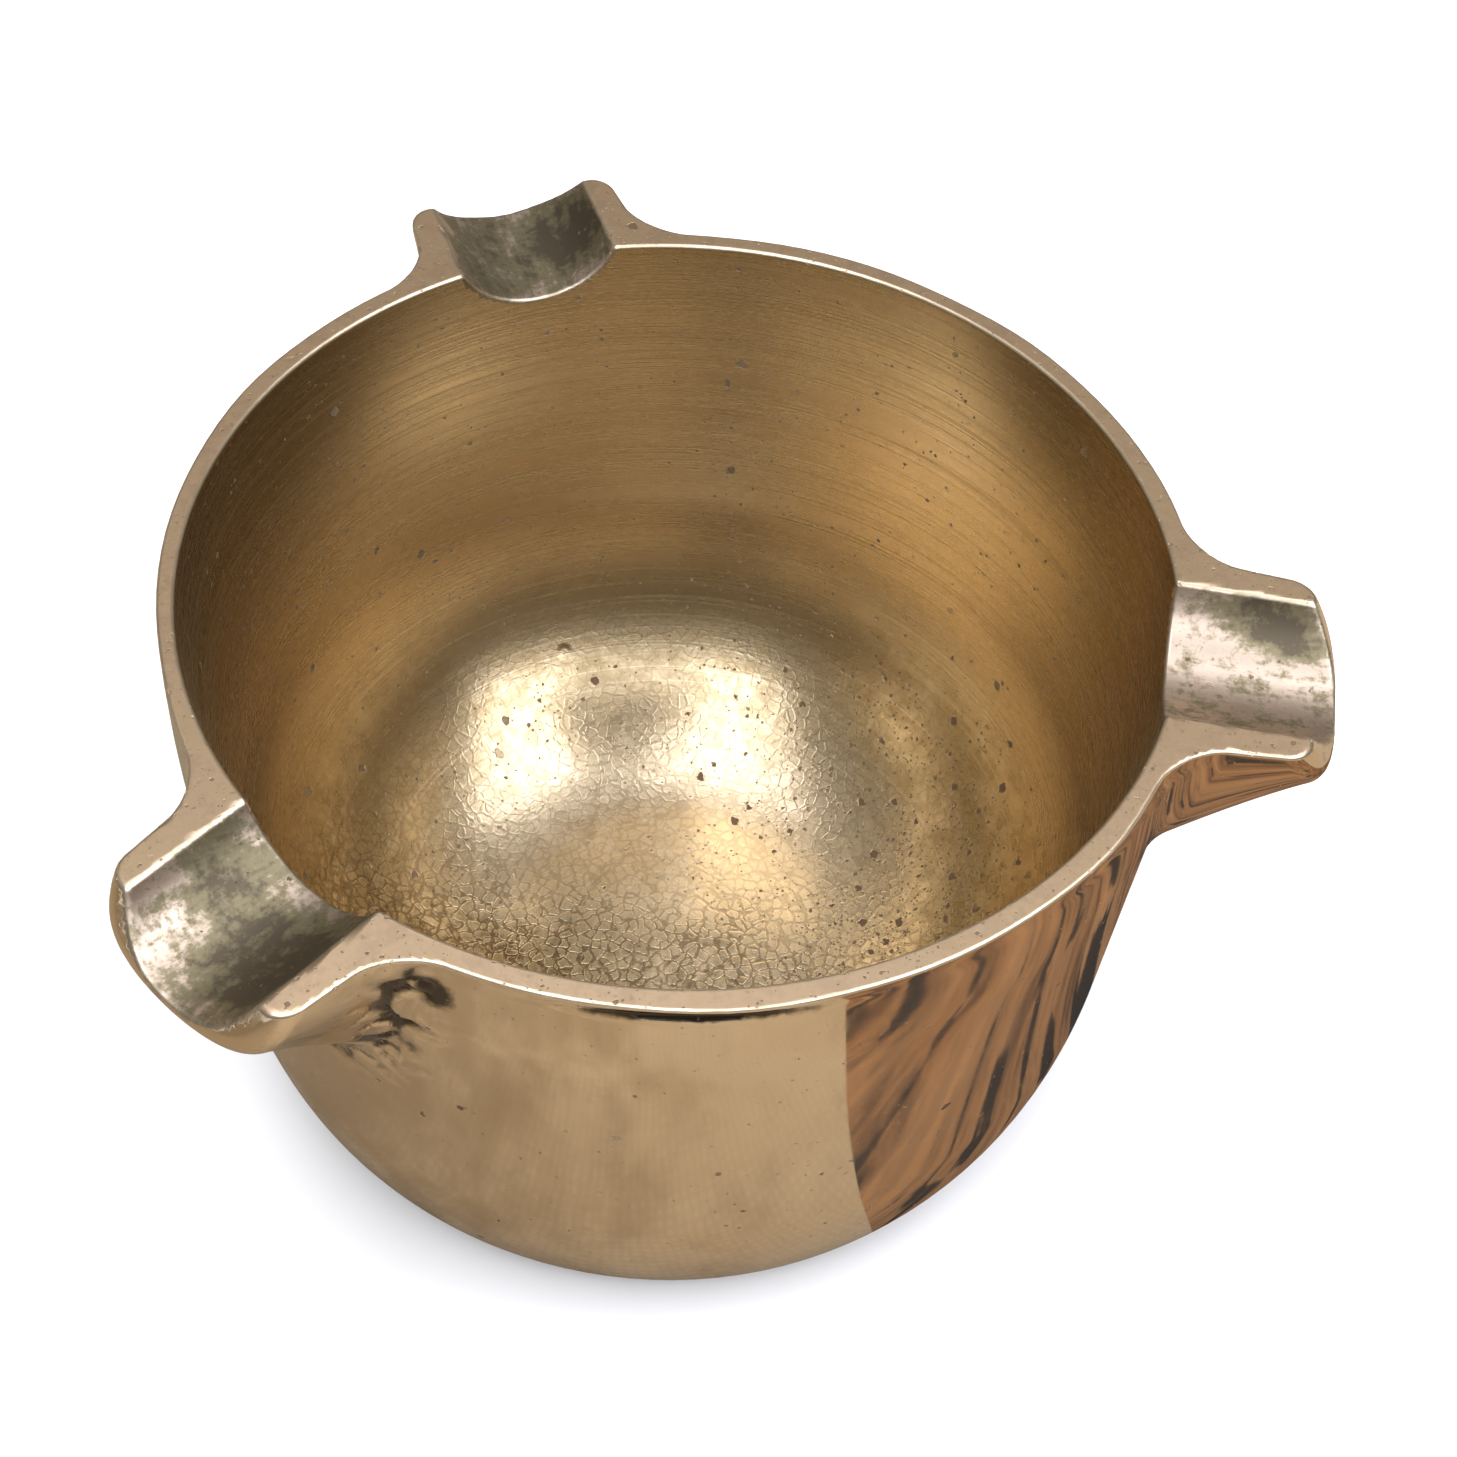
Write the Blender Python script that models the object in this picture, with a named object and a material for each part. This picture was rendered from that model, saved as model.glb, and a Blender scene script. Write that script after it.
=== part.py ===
"""Cast brass bowl with three half-round rests on its rim.

The bowl is one turned casting. Each rest is a separate lug that is brazed to the outside of the wall, so the
model has four solids. The origin is the centre of the foot, +Z is up and the right-hand rest points along +X.
Every length below is in millimetres, and scaled to metres when a mesh is made.
"""
import math

import bmesh
import bpy

MM = 0.001

# The bowl
HEIGHT = 62.0            # from the foot to the filed rim
MOUTH_RADIUS = 45.0      # inside radius at the rim
EDGE_BREAK = 0.4         # chamfer on the inside edge of the rim
WALL_RADIUS = 47.1       # outside radius at the rim
STRAIGHT_BAND = 10.0     # depth over which the outside stays straight
OUTER_TAPER = 0.05       # radius lost for each millimetre of depth, outside
INNER_TAPER = 0.095      # the same, inside, so that the wall thickens downwards
CORNER_DEPTH = 40.0      # depth at which the outside starts to round into the foot
CORNER_INSET = 8.5       # radius lost in that rounding
FLOOR_THICKNESS = 4.4
FLOOR_FILLET = 27.0      # radius between the inside wall and the floor

# The rests
# Each rest's angle about the bowl, in degrees, and the distance from the bowl's axis to the top edge of its nose.
# They were set and filed by hand, so neither the angles nor the distances are quite even.
RESTS = {"rest_right": (0.0, 57.0), "rest_back": (119.5, 55.6), "rest_left": (238.0, 56.8)}
TROUGH_HALF_WIDTH = 7.9
TROUGH_DEPTH = 5.0
ARM_ROOT_HALF_WIDTH = 11.5
ARM_TIP_HALF_WIDTH = 10.6
NOSE_LEAN = 0.64         # the end face leans out by this much for each millimetre of depth
NOSE_DEPTH = 5.7         # depth of the lug at its nose, a thin lip below the trough
KEEL_SLOPE = 1.25        # depth gained for each millimetre towards the bowl
ROOT_FLARE = 4.5         # radius of the flare where an arm meets the wall
TIP_ROUNDING = 2.0       # radius of an arm's corner, seen from above
LEAST_ARM = 0.4          # metal left beside the trough where the corner is rounded away

JOINT_GAP = 0.3          # clearance between a lug and the wall
OVERRUN = 3.0            # how far a cutter reaches past what it cuts

# Facets
TURN_SEGMENTS = 96
CORNER_SEGMENTS = 8
FILLET_SEGMENTS = 10
TROUGH_SEGMENTS = 14
KEEL_SEGMENTS = 14
FLARE_SEGMENTS = 5
ROUNDING_SEGMENTS = 3
SHARP_ANGLE = 30         # degrees between two facets that are shaded as an edge

# Finishes: colour and roughness
BOWL_FINISH = ((0.56, 0.41, 0.22), 0.25)
REST_FINISH = ((0.52, 0.40, 0.25), 0.35)


def clear_scene():
    for old in list(bpy.data.objects):
        bpy.data.objects.remove(old, do_unlink=True)


def brass(name, colour, roughness):
    """A plain brass finish, one for each piece."""
    material = bpy.data.materials.new(name)
    material.use_nodes = True
    shader = material.node_tree.nodes["Principled BSDF"]
    shader.inputs["Base Color"].default_value = (*colour, 1.0)
    shader.inputs["Metallic"].default_value = 1.0
    shader.inputs["Roughness"].default_value = roughness
    return material


def steps(start, stop, count):
    """Evenly spaced values from start to stop, both included."""
    return [start + (stop - start) * i / count for i in range(count + 1)]


def new_object(name, mesh_maker, *sizes, material=None):
    """An object whose mesh is filled by mesh_maker in millimetres and stored in metres."""
    bm = bmesh.new()
    mesh_maker(bm, *sizes)
    bmesh.ops.scale(bm, vec=(MM, MM, MM), verts=bm.verts)
    bmesh.ops.recalc_face_normals(bm, faces=bm.faces)
    mesh = bpy.data.meshes.new(name)
    bm.to_mesh(mesh)
    bm.free()
    mesh.shade_smooth()
    mesh.set_sharp_from_angle(angle=math.radians(SHARP_ANGLE))
    obj = bpy.data.objects.new(name, mesh)
    bpy.context.collection.objects.link(obj)
    if material:
        mesh.materials.append(material)
    return obj


def turn(bm, profile):
    """Turn a profile of (radius, height) points about Z. Its first and last points lie on the axis."""
    rings = []
    for radius, height in profile:
        count = TURN_SEGMENTS if radius > 0 else 1
        ring = []
        for i in range(count):
            angle = math.tau * i / count
            ring.append(bm.verts.new((radius * math.cos(angle), radius * math.sin(angle), height)))
        rings.append(ring)
    for lower, upper in zip(rings, rings[1:]):
        for i in range(TURN_SEGMENTS):
            j = (i + 1) % TURN_SEGMENTS
            corners = [lower[i % len(lower)], lower[j % len(lower)], upper[j % len(upper)], upper[i % len(upper)]]
            bm.faces.new(list(dict.fromkeys(corners)))


def wall_radius(depth):
    """Outside radius of the wall at a depth below the rim, before the foot's rounding."""
    return WALL_RADIUS - OUTER_TAPER * max(0.0, depth - STRAIGHT_BAND)


def outside_profile(grow=0.0):
    """The outside of the bowl from the foot to the rim, moved outwards by grow."""
    points = []
    for angle in steps(math.pi / 2, 0.0, CORNER_SEGMENTS):
        depth = CORNER_DEPTH + (HEIGHT - CORNER_DEPTH) * math.sin(angle)
        inset = CORNER_INSET * (1 - math.cos(angle))
        points.append((wall_radius(depth) - inset + grow, HEIGHT - depth))
    points.append((WALL_RADIUS + grow, HEIGHT - STRAIGHT_BAND))
    points.append((WALL_RADIUS + grow, HEIGHT))
    return points


def inside_profile():
    """The inside of the bowl from the rim to the floor: a tapered wall and one large fillet."""
    lean = math.atan(INNER_TAPER)
    centre_height = FLOOR_THICKNESS + FLOOR_FILLET
    line_radius = MOUTH_RADIUS - INNER_TAPER * (HEIGHT - centre_height)
    centre_radius = line_radius - FLOOR_FILLET / math.cos(lean)
    points = [(MOUTH_RADIUS + EDGE_BREAK, HEIGHT), (MOUTH_RADIUS, HEIGHT - EDGE_BREAK)]
    for angle in steps(-lean, -math.pi / 2, FILLET_SEGMENTS):
        radius = centre_radius + FLOOR_FILLET * math.cos(angle)
        points.append((radius, centre_height + FLOOR_FILLET * math.sin(angle)))
    return points


def make_bowl(bm):
    foot_centre = [(0.0, 0.0)]
    floor_centre = [(0.0, FLOOR_THICKNESS)]
    turn(bm, foot_centre + outside_profile() + inside_profile() + floor_centre)


def make_wall_cutter(bm):
    """The outside of the bowl grown by the joint gap, run past the rim, which shapes the back of each lug."""
    profile = outside_profile(JOINT_GAP)
    top = HEIGHT + OVERRUN
    turn(bm, [(0.0, 0.0)] + profile + [(WALL_RADIUS + JOINT_GAP, top), (0.0, top)])


def make_trough_cutter(bm, tip_reach):
    """A bar with a round underside, which cuts the trough and the notch in the rim."""
    radius = (TROUGH_HALF_WIDTH ** 2 + TROUGH_DEPTH ** 2) / (2 * TROUGH_DEPTH)
    centre_height = HEIGHT - TROUGH_DEPTH + radius
    reach = math.asin(TROUGH_HALF_WIDTH / radius)
    outline = []
    for angle in steps(-reach, reach, TROUGH_SEGMENTS):
        outline.append((radius * math.sin(angle), centre_height - radius * math.cos(angle)))
    outline.append((TROUGH_HALF_WIDTH, HEIGHT + OVERRUN))
    outline.append((-TROUGH_HALF_WIDTH, HEIGHT + OVERRUN))
    inner_end = MOUTH_RADIUS - 2 * OVERRUN
    outer_end = tip_reach + NOSE_LEAN * NOSE_DEPTH + OVERRUN
    near = [bm.verts.new((inner_end, y, z)) for y, z in outline]
    far = [bm.verts.new((outer_end, y, z)) for y, z in outline]
    close_loft(bm, [near, far])


def close_loft(bm, sections):
    """Skin a row of closed sections that have the same number of points, and cap both ends."""
    for first, second in zip(sections, sections[1:]):
        for i in range(len(first)):
            j = (i + 1) % len(first)
            bm.faces.new((first[i], first[j], second[j], second[i]))
    bm.faces.new(sections[0])
    bm.faces.new(sections[-1])


def arm_root():
    """Distance from the bowl's axis at which a straight arm would meet the wall."""
    return math.sqrt(WALL_RADIUS ** 2 - ARM_ROOT_HALF_WIDTH ** 2)


def arm_half_width(reach, tip_reach):
    """Half the width of a lug's top at a distance from the bowl's axis: flare, straight arm, rounded corner."""
    along = (reach - arm_root()) / (tip_reach - arm_root())
    width = ARM_ROOT_HALF_WIDTH + (ARM_TIP_HALF_WIDTH - ARM_ROOT_HALF_WIDTH) * max(0.0, along)
    into_flare = min(ROOT_FLARE, max(0.0, arm_root() + ROOT_FLARE - reach))
    width += ROOT_FLARE - math.sqrt(ROOT_FLARE ** 2 - into_flare ** 2)
    into_rounding = max(0.0, reach - (tip_reach - TIP_ROUNDING))
    width -= TIP_ROUNDING - math.sqrt(max(0.0, TIP_ROUNDING ** 2 - into_rounding ** 2))
    return width


def rest_stations(tip_reach):
    """Distances from the axis, at the top face, where the lug's section is drawn."""
    inside_wall = MOUTH_RADIUS - OVERRUN
    flare = [arm_root() + ROOT_FLARE * (1 - math.cos(a)) for a in steps(0.0, math.pi / 2, FLARE_SEGMENTS)]
    corner_start = tip_reach - TIP_ROUNDING
    corner = [corner_start + TIP_ROUNDING * math.sin(a) for a in steps(0.0, math.pi / 3, ROUNDING_SEGMENTS)]
    return [inside_wall] + flare + corner + [tip_reach]


def make_rest(bm, tip_reach):
    """A lug that points along +X: half-elliptic sections that grow deeper towards the bowl."""
    stations = rest_stations(tip_reach)
    root = stations[0]
    nose_tip = tip_reach + NOSE_LEAN * NOSE_DEPTH
    sections = []
    for reach in stations:
        share = (reach - root) / (tip_reach - root)
        keel_reach = root + share * (nose_tip - root)
        depth = NOSE_DEPTH + KEEL_SLOPE * (nose_tip - keel_reach)
        half_width = max(arm_half_width(reach, tip_reach), TROUGH_HALF_WIDTH + LEAST_ARM)
        section = []
        for angle in steps(0.0, math.pi, KEEL_SEGMENTS):
            drop = math.sin(angle)
            x = reach + (keel_reach - reach) * drop
            section.append(bm.verts.new((x, half_width * math.cos(angle), HEIGHT - depth * drop)))
        sections.append(section)
    close_loft(bm, sections)


def cut(obj, cutter):
    modifier = obj.modifiers.new("cut_" + cutter.name, "BOOLEAN")
    modifier.operation = "DIFFERENCE"
    modifier.solver = "EXACT"
    modifier.object = cutter


def hide_cutter(cutter):
    cutter.hide_render = True
    cutter.display_type = "WIRE"


def build():
    clear_scene()
    bowl = new_object("bowl", make_bowl, material=brass("brass_bowl", *BOWL_FINISH))
    wall_cutter = new_object("wall_cutter", make_wall_cutter)
    hide_cutter(wall_cutter)
    for name, (degrees, tip_reach) in RESTS.items():
        trough = new_object("trough_cutter_" + name, make_trough_cutter, tip_reach)
        hide_cutter(trough)
        rest = new_object(name, make_rest, tip_reach, material=brass("brass_" + name, *REST_FINISH))
        for turned in (trough, rest):
            turned.rotation_euler.z = math.radians(degrees)
        cut(bowl, trough)
        cut(rest, wall_cutter)
        cut(rest, trough)


build()
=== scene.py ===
"""Looks of the cast brass bowl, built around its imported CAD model.

To the eye the bowl and its three rests are one continuous metal surface. Its shape is written once,
as a function that gives the distance from a point to the metal. The surface is meshed on a grid
turned about the bowl's axis, and the mesh is shared out into one closed piece for each CAD node,
with the same points on both sides of every seam. Lengths are in millimetres until a mesh or the
camera is made, but the lights, the paper floor and the cloth are in metres.
"""
import math
from types import SimpleNamespace

import bpy
import numpy as np
from mathutils import Matrix, Quaternion, Vector


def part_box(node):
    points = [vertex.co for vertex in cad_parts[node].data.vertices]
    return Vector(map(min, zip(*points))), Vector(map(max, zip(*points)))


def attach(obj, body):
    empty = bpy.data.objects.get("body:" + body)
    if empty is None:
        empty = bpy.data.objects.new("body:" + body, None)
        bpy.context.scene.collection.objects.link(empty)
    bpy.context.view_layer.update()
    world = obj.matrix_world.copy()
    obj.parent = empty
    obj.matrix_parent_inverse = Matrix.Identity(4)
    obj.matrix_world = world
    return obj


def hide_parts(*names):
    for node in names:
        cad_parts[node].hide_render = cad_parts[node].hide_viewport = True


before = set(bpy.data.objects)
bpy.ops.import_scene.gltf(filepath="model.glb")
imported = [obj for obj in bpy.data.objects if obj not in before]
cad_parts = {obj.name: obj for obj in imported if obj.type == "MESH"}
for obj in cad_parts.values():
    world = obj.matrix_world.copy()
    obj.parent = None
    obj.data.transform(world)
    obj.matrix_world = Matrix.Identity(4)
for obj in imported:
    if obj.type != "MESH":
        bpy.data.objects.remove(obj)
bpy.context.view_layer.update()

MM = 0.001

# The bowl, with the same dimensions as its CAD model
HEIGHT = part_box("bowl")[1].z / MM
WALL_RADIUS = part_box("bowl")[1].x / MM
MOUTH_RADIUS = 45.0
STRAIGHT_BAND = 10.0
OUTER_TAPER = 0.05
TAPER_EASE = 2.5         # the taper sets in gradually, with no crease for reflections to break on
INNER_TAPER = 0.095
CORNER_DEPTH = 40.0
CORNER_INSET = 8.5
FLOOR_THICKNESS = 4.4
FLOOR_FILLET = 27.0

# The rests: angle in degrees and reach of the nose's top edge
RESTS = {"rest_right": (0.0, 57.0), "rest_back": (119.5, 55.6), "rest_left": (238.0, 56.8)}
TROUGH_HALF_WIDTH = 7.9
TROUGH_DEPTH = 5.0
ARM_ROOT_HALF_WIDTH = 11.5
ARM_TIP_HALF_WIDTH = 10.6
NOSE_LEAN = 0.64
NOSE_DEPTH = 5.7
NOSE_ROUNDING = 2.0
KEEL_SLOPE = 1.25
ROOT_FILLET = 4.5        # fillet between a rest and the wall at the rim
FILLET_FADE = 15.0       # depth over which that fillet shrinks by a factor of e
LUG_BACK = 38.0          # where a rest ends inside the wall

# Handwork, which the CAD model leaves out
EDGE_ROUNDING = 0.35     # radius of every worn edge
SEAM = 0.03              # a rest begins this far outside the plain wall
SEAM_SHARE = 0.3         # and takes this share of the fillet at its root
SLIVER_REACH = 1.5       # slivers are dropped from a rest this close to the wall
RIM_WAVE = 0.11          # unevenness of the filed outer edge, and the length of its waves
RIM_WAVE_LENGTH = 17.0
RIM_WAVE_DEPTH = 1.6     # how far down the wall it fades out
WALL_WAVE = 0.05         # slow unevenness of the polished wall, and the length of its waves
WALL_WAVE_LENGTH = 34.0
FOOT_FADE = 6.0          # height over which the unevenness fades out, so that the foot stays flat
# The notch under the near rim and the thin part of the rim: place, reach and cut
UNDERCUT = {"angle": -78.0, "spread": 9.0, "depth": 1.1, "height": 0.55, "cut": 0.6}
THIN_RIM = {"angle": -163.0, "spread": 20.0, "depth": 14.0, "cut": 0.55}
BRAZE_DEPTH = 0.6        # deepest crevice in the ragged braze under the left rest
BRAZE_REACH = 2.8        # how far it spreads from the joint
BRAZE_RIDGE = 5.0        # length of its ridges
BRAZE_TOP = 2.0          # depth below the rim at which it is in full
BRAZED_REST = "rest_left"
BLOTCH = {"across": 14.3, "depth": 4.5, "size": 2.2}      # dark spot painted beside the braze, a painted reflection of something dark
DENTS = [((-17.6, 29.8, 12.9), 1.1)]      # knocks in the metal: place and size

# Stains in the troughs: distance out from the axis, distance across, size and strength
TROUGH_STAINS = {
    "rest_right": [(52.0, 7.2, 1.9, 1.0), (55.5, 6.2, 2.1, 0.9), (49.0, -6.0, 2.4, 0.35)],
    "rest_back": [(52.5, -4.5, 3.0, 0.9), (50.0, -6.5, 2.2, 0.9), (51.5, 1.5, 6.0, 0.55)],
    "rest_left": [(52.0, 0.5, 3.8, 0.9), (54.5, 4.8, 2.8, 0.9),
                  (50.0, 5.8, 3.4, 0.9), (49.0, -5.5, 3.2, 0.7)],
}
STAIN_LENGTH = 1.4       # each stain is this much longer along the trough than across it

# Meshing
FAR = 99.0
TURN_LINES = 416         # a multiple of 32, so that the lines can be thinned towards the axis
REST_SPAN = 14.0         # half the arc about each rest that is meshed finely
FINE_ARC = 0.36
COARSE_ARC = 1.15
RADIUS_STEPS = [(0.0, 0.0), (36.0, 1.4), (44.0, 0.8), (47.8, 0.16), (62.5, 0.42)]
HEIGHT_STEPS = [(-0.9, 0.0), (3.0, 0.5), (36.0, 1.5), (53.0, 1.0), (60.9, 0.36), (62.6, 0.13)]
LEAST_ARC = 0.8          # shortest side of a face near the axis
SETTLE_ROUNDS = 5
RELAX_ROUNDS = 2         # times that the points are evened out over the surface
WELD = 0.04              # points of one face that are closer than this become one
LONGEST_MOVE = 0.25
BEND_REACH = 0.3         # how far from a point its edge or corner is felt

# Light, in metres and watts: each panel runs between two directions, given as (azimuth, elevation)
ROOM_SIDES = 0.24
ROOM_OVERHEAD = 0.56
FILL_SIZE = 1.6
FILL_HEIGHT = 1.2
FILL_POWER = 15.0
PANEL_DISTANCE = 0.8
PANEL_WIDTH = 0.24
PANEL_COLOUR = (0.90, 0.97, 1.12)
PANELS = {
    "light_right": ((117, 37), (38, 67), 2.5),
    "light_left": ((-163, 50), (-20, 72), 2.2),
    "light_front": ((122, 42), (-163, 52), 1.4),
}

# What the polished wall reflects: cloth all round, and a board whose edge runs past the bowl's right side
WOOD_EDGE = (39.0, -46.0)
WOOD_EDGE_AZIMUTH = -55.0
WOOD_GRAIN_AZIMUTH = 16.0
WOOD_FRONT = 110.0       # how far the board runs forwards from that point on its edge
WOOD_BACK = 95.0         # how far it runs back
WOOD_WIDTH = 120.0
CLOTH_REACH = 0.7        # half the side of the cloth, in metres

# Colours of the metal
POLISHED = (0.80, 0.65, 0.46)
CLOUDED = (0.72, 0.57, 0.39)
FILED = (0.73, 0.525, 0.33)
TURNED = (0.64, 0.515, 0.335)
GROOVE_SHADE = (0.48, 0.375, 0.23)
RIDGE_HIGHLIGHT = (0.72, 0.60, 0.42)
FLOOR = (0.68, 0.545, 0.375)
TARNISH = (0.32, 0.225, 0.108)
FILED_DULL = (0.56, 0.39, 0.25)
PATINA = (0.22, 0.185, 0.105)
PINK = (0.56, 0.43, 0.335)
STAIN_AND_SHADE = (0.075, 0.058, 0.040)
PIT = (0.15, 0.09, 0.05)
CRACKLE = (0.17, 0.11, 0.055)
WORN_AND_HIGHLIGHT = (0.93, 0.79, 0.60)

# Colours of what it reflects
CLOTH_DARK = (0.23, 0.175, 0.113)
CLOTH_PALE = (0.35, 0.282, 0.198)
CLOTH_SHADE = (0.18, 0.14, 0.095)
WOOD_DARK = (0.06, 0.027, 0.011)
WOOD_WARM = (0.19, 0.092, 0.034)
WOOD_PALE = (0.33, 0.185, 0.082)
WOOD_CRACK = (0.012, 0.007, 0.004)

# Camera
CAMERA_AIM = (7.38, -17.58, HEIGHT)
CAMERA_AZIMUTH = 6.62
CAMERA_ELEVATION = 50.55
CAMERA_DISTANCE = 203.75
CAMERA_ROLL = 4.27
CAMERA_LENS = 59.0


# --------------------
# Shape
# --------------------

def rounded_and(first, second, rounding):
    """Inside both shapes, with the edge between them rounded off."""
    inner = np.minimum(np.maximum(first, second), -rounding)
    return inner + np.hypot(np.maximum(first + rounding, 0), np.maximum(second + rounding, 0))


def filleted_or(first, second, fillet):
    """Inside either shape, with a fillet in the corner between them."""
    outer = np.maximum(np.minimum(first, second), fillet)
    return outer - np.hypot(np.maximum(fillet - first, 0), np.maximum(fillet - second, 0))


def ellipse(x, y, half_width, half_height):
    """Roughly the distance to an ellipse, below 0 inside it."""
    scaled = np.hypot(x / half_width, y / half_height)
    slope = np.hypot(x / half_width ** 2, y / half_height ** 2) + 1e-9
    return scaled * (scaled - 1) / slope


def plain_wall(radius, depth):
    """The turned outside of the bowl without its rests, open at the top."""
    below = depth - STRAIGHT_BAND
    wall = WALL_RADIUS - OUTER_TAPER * (below + np.hypot(below, TAPER_EASE)) / 2
    foot = wall - CORNER_INSET
    corner = ellipse(np.maximum(radius - foot, 0), depth - CORNER_DEPTH, CORNER_INSET, HEIGHT - CORNER_DEPTH)
    base = np.where(radius > foot, corner, depth - HEIGHT)
    return np.where(depth > CORNER_DEPTH, base, radius - wall)


def hollow(radius, depth):
    """The turned inside of the bowl: a tapered wall, one large fillet and a flat floor."""
    lean = math.atan(INNER_TAPER)
    centre_depth = HEIGHT - FLOOR_THICKNESS - FLOOR_FILLET
    centre_radius = MOUTH_RADIUS - INNER_TAPER * centre_depth - FLOOR_FILLET / math.cos(lean)
    wall = (radius - MOUTH_RADIUS + INNER_TAPER * depth) * math.cos(lean)
    out = radius - centre_radius
    down = depth - centre_depth
    fillet = np.hypot(out, down) - FLOOR_FILLET
    floor = depth - (HEIGHT - FLOOR_THICKNESS)
    in_fillet = (out > 0) & (down * math.cos(lean) > out * math.sin(lean))
    return np.where(in_fillet, fillet, np.where((out <= 0) & (down > 0), floor, wall))


def rest_axes(points, degrees):
    """Distances along and across a rest whose axis lies at an angle about the bowl."""
    angle = math.radians(degrees)
    along = points[..., 0] * math.cos(angle) + points[..., 1] * math.sin(angle)
    across = points[..., 1] * math.cos(angle) - points[..., 0] * math.sin(angle)
    return along, across


def lug(along, across, depth, reach):
    """A rest before its trough is cut: half-elliptic sections that grow deeper towards the bowl."""
    root = math.sqrt(WALL_RADIUS ** 2 - ARM_ROOT_HALF_WIDTH ** 2)
    nose_tip = reach + NOSE_LEAN * NOSE_DEPTH
    keel = np.maximum(NOSE_DEPTH + KEEL_SLOPE * (nose_tip - along), 2.0)
    share = np.clip((along - root) / (reach - root), 0.0, 1.3)
    half_width = ARM_ROOT_HALF_WIDTH + (ARM_TIP_HALF_WIDTH - ARM_ROOT_HALF_WIDTH) * share
    side = ellipse(across, np.maximum(depth, 0), half_width, keel)
    nose = (along - reach - NOSE_LEAN * depth) / math.hypot(1, NOSE_LEAN)
    return np.maximum(rounded_and(side, nose, NOSE_ROUNDING), LUG_BACK - along)


def root_fillet(depth):
    """Radius of the fillet between a rest and the wall."""
    return ROOT_FILLET * np.exp(-np.maximum(depth, 0) / FILLET_FADE)


def trough_wall(along, across, height):
    """Distance into the round bar cut away for a trough, or far outside it on the bowl's other side."""
    bar = (TROUGH_HALF_WIDTH ** 2 + TROUGH_DEPTH ** 2) / (2 * TROUGH_DEPTH)
    bar_height = HEIGHT - TROUGH_DEPTH + bar
    return np.where(along > 0, bar - np.hypot(across, height - bar_height), -FAR)


def bump_at(value, centre, spread):
    """A smooth bump, 1 at its centre."""
    return np.exp(-((value - centre) / spread) ** 2)


def turn_from(angle, degrees):
    """Angle about the bowl measured from a direction, in degrees between -180 and 180."""
    return (np.degrees(angle) - degrees + 180.0) % 360.0 - 180.0


def waves(points, length, seed, count=14):
    """Smooth noise, mostly between -1 and 1: plane waves in seeded random directions."""
    chance = np.random.default_rng(seed)
    total = 0.0
    for _ in range(count):
        direction = chance.normal(size=3)
        direction *= math.tau / length * chance.uniform(0.7, 1.4) / np.linalg.norm(direction)
        total = total + np.sin(points @ direction + chance.uniform(0, math.tau))
    return total / math.sqrt(count)


def handwork(points, radius, depth):
    """How far the outside has been worn, filed or cast away from its turned shape."""
    angle = np.arctan2(points[..., 1], points[..., 0])
    at_rim = np.exp(-(depth / RIM_WAVE_DEPTH) ** 2)
    above_foot = np.clip((HEIGHT - depth) / FOOT_FADE, 0, 1)
    cut = RIM_WAVE * waves(points, RIM_WAVE_LENGTH, 3) * at_rim
    cut = cut + WALL_WAVE * waves(points, WALL_WAVE_LENGTH, 5) * above_foot
    groove = bump_at(turn_from(angle, UNDERCUT["angle"]), 0, UNDERCUT["spread"])
    cut = cut + UNDERCUT["cut"] * groove * bump_at(depth, UNDERCUT["depth"], UNDERCUT["height"])
    thin = bump_at(turn_from(angle, THIN_RIM["angle"]), 0, THIN_RIM["spread"])
    return cut + THIN_RIM["cut"] * thin * np.exp(-(depth / THIN_RIM["depth"]) ** 2)


def braze(points, depth, from_wall, from_lug):
    """Depth of the ragged crevices where a rest was brazed on, 0 to 1."""
    joint = np.exp(-((from_wall + from_lug) / BRAZE_REACH) ** 2)
    ridges = 1.0 - np.abs(waves(points, BRAZE_RIDGE, 11))
    return joint * np.clip(ridges, 0, 1) ** 1.4 * np.clip(depth / BRAZE_TOP, 0, 1)


def casting(points, detail=True):
    """Distance from each point to the metal's surface, below 0 inside."""
    radius = np.hypot(points[..., 0], points[..., 1])
    height = points[..., 2]
    depth = HEIGHT - height
    body = plain_wall(radius, depth)
    if detail:
        body = body + handwork(points, radius, depth)
    troughs = []
    for name, (degrees, reach) in RESTS.items():
        along, across = rest_axes(points, degrees)
        rest = lug(along, across, depth, reach)
        joined = filleted_or(body, rest, root_fillet(depth))
        if detail and name == BRAZED_REST:
            joined = joined + BRAZE_DEPTH * braze(points, depth, np.abs(body), np.abs(rest)) * (across > 0)
        body = np.where(along > 0, joined, body)
        troughs.append(trough_wall(along, across, height))
    body = rounded_and(body, -depth, EDGE_ROUNDING)
    body = rounded_and(body, -hollow(radius, depth), EDGE_ROUNDING)
    for trough in troughs:
        body = rounded_and(body, trough, EDGE_ROUNDING)
    return body


def beyond_wall(points):
    """Distance outside the plain wall at which a rest begins."""
    radius = np.hypot(points[..., 0], points[..., 1])
    return plain_wall(radius, HEIGHT - points[..., 2]) - SEAM


def slope(shape, points, step=0.02):
    """Gradient of a distance function, by central differences."""
    parts = []
    for axis in range(3):
        offset = np.zeros(3)
        offset[axis] = step
        parts.append((shape(points + offset) - shape(points - offset)) / (2 * step))
    return np.stack(parts, axis=-1)


def settle(points, shape):
    """Moves points onto the surface of a shape, straight towards it."""
    for _ in range(SETTLE_ROUNDS):
        direction = slope(shape, points)
        size = np.maximum((direction ** 2).sum(axis=1), 0.05)
        move = direction * (shape(points) / size)[:, None]
        length = np.linalg.norm(move, axis=1)
        points = points - move * np.minimum(1.0, LONGEST_MOVE / np.maximum(length, 1e-9))[:, None]
    return points


# --------------------
# Mesh
# --------------------

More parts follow.
